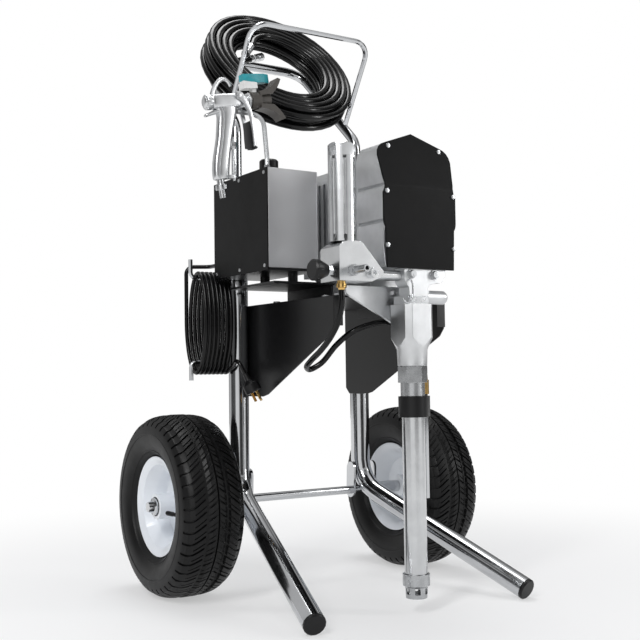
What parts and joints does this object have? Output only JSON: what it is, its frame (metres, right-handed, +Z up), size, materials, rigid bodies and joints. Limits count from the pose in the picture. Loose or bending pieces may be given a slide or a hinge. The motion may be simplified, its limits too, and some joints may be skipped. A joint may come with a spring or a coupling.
{
  "type": "airless paint sprayer",
  "caption": "Upright two-wheeled cart with a motor-driven piston paint pump, filter and manifold, control box, spray gun, wound hose and power cord.",
  "frame": {"origin": "on the floor under the middle of the machine, measured without its hose and power cord", "axes": "+Z up, -Y towards the front with the pump and the cart feet, +X towards the right wheel when looking at the front"},
  "size_m": [0.653, 0.6214, 1.1689],
  "materials": {
    "chrome_tube": "bright chrome plate",
    "cast_aluminium": "satin casting",
    "machined_aluminium": "machined bright",
    "zinc_steel": "zinc plated",
    "brass": "bright",
    "black_paint": "semi-gloss powder coat",
    "black_casting": "semi-gloss black paint on aluminium",
    "grey_shroud": "satin, fine grain",
    "white_rim": "gloss white powder coat",
    "black_plastic": "moulded, matt",
    "tyre_rubber": "matt tread rubber",
    "hose_rubber": "smooth extruded cover",
    "teal_plastic": "moulded, satin"
  },
  "bodies": {
    "cart": {"left_leg_tube": "chrome_tube", "right_leg_tube": "chrome_tube", "left_foot_plug": "black_plastic", "right_foot_plug": "black_plastic", "left_handle_collar": "black_plastic", "right_handle_collar": "black_plastic", "axle": "chrome_tube", "left_side_panel": "black_paint", "right_side_panel": "black_paint", "deck_plate": "black_paint", "front_bracket": "cast_aluminium", "cord_hook_upper": "chrome_tube", "cord_hook_lower": "chrome_tube", "control_box_case": "grey_shroud", "control_box_side_plate": "black_paint", "control_box_base": "black_paint", "cord_gland": "black_plastic", "gun_rest_rod": "zinc_steel", "gear_housing": "cast_aluminium", "housing_cover": "black_paint", "motor_housing": "black_casting", "motor_fan_cover": "black_plastic", "drive_saddle": "cast_aluminium", "pump_neck": "cast_aluminium", "pump_body": "cast_aluminium", "pump_foot_nut": "zinc_steel", "tube_clamp": "black_plastic", "suction_tube": "chrome_tube", "inlet_strainer": "zinc_steel", "drain_tube": "chrome_tube", "drain_union": "brass", "manifold_block": "machined_aluminium", "filter_tube": "machined_aluminium", "outlet_nipple": "zinc_steel", "drain_elbow": "brass", "drain_hose": "hose_rubber", "gun_body": "machined_aluminium", "diffuser_nut": "machined_aluminium", "power_cord_hank": "hose_rubber", "power_cord_lead": "hose_rubber", "power_cord_tail": "hose_rubber", "power_plug": "black_plastic"},
    "left_wheel": {"left_tyre": "tyre_rubber", "left_rim": "white_rim"},
    "right_wheel": {"right_tyre": "tyre_rubber", "right_rim": "white_rim"},
    "handle": {"handle_tube": "chrome_tube", "hose_rack": "chrome_tube", "hose_coil": "hose_rubber", "hose_end_fitting_rear": "machined_aluminium", "hose_end_fitting_front": "machined_aluminium"},
    "pressure_control": {"pressure_knob": "black_plastic"},
    "prime_valve": {"prime_valve_knob": "black_plastic"},
    "switch_rocker": {"power_switch": "black_plastic"},
    "trigger": {"gun_trigger": "machined_aluminium"},
    "lock_lever": {"trigger_lock": "black_plastic"},
    "guard": {"tip_guard": "black_plastic"},
    "reversible_tip": {"spray_tip": "teal_plastic"},
    "swivel": {"gun_swivel": "machined_aluminium"}
  },
  "joints": [
    {"name": "left_wheel_spin", "type": "hinge", "parent": "cart", "child": "left_wheel", "pos_m": [-0.2645, 0.12001, 0.165], "axis": [1, 0, 0], "continuous": true},
    {"name": "right_wheel_spin", "type": "hinge", "parent": "cart", "child": "right_wheel", "pos_m": [0.2645, 0.12001, 0.165], "axis": [1, 0, 0], "continuous": true},
    {"name": "handle_slide", "type": "slide", "parent": "cart", "child": "handle", "axis": [0, 0, 1], "range_m": [0, 0.15]},
    {"name": "pressure_knob_turn", "type": "hinge", "parent": "cart", "child": "pressure_control", "pos_m": [-0.171, -0.06399, 0.76], "axis": [0, 0, 1], "range_deg": [0, 270]},
    {"name": "prime_valve_turn", "type": "hinge", "parent": "cart", "child": "prime_valve", "pos_m": [-0.165, -0.238, 0.568], "axis": [-1, 0, 0], "range_deg": [0, 90]},
    {"name": "power_switch_rock", "type": "hinge", "parent": "cart", "child": "switch_rocker", "pos_m": [-0.181, 0.09101, 0.696], "axis": [1, 0, 0], "range_deg": [0, 14]},
    {"name": "trigger_pull", "type": "hinge", "parent": "cart", "child": "trigger", "pos_m": [-0.25714, -0.102, 0.87004], "axis": [0, 1, 0], "range_deg": [0, 16], "stiffness_Nm_per_rad": 0.6, "springref_deg": -8.59},
    {"name": "trigger_lock_turn", "type": "hinge", "parent": "cart", "child": "lock_lever", "pos_m": [-0.27647, -0.0874, 0.85787], "axis": [0, 1, 0], "range_deg": [0, 90]},
    {"name": "guard_turn", "type": "hinge", "parent": "cart", "child": "guard", "pos_m": [-0.22904, -0.102, 0.86842], "axis": [0.9877, 0, 0.1564], "range_deg": [0, 90]},
    {"name": "tip_reverse", "type": "hinge", "parent": "guard", "child": "reversible_tip", "pos_m": [-0.21946, -0.102, 0.86994], "axis": [-0.1564, 0, 0.9877], "range_deg": [0, 180]},
    {"name": "swivel_turn", "type": "hinge", "parent": "cart", "child": "swivel", "pos_m": [-0.28389, -0.102, 0.71292], "axis": [-0.1564, 0, 0.9877], "continuous": true}
  ]
}
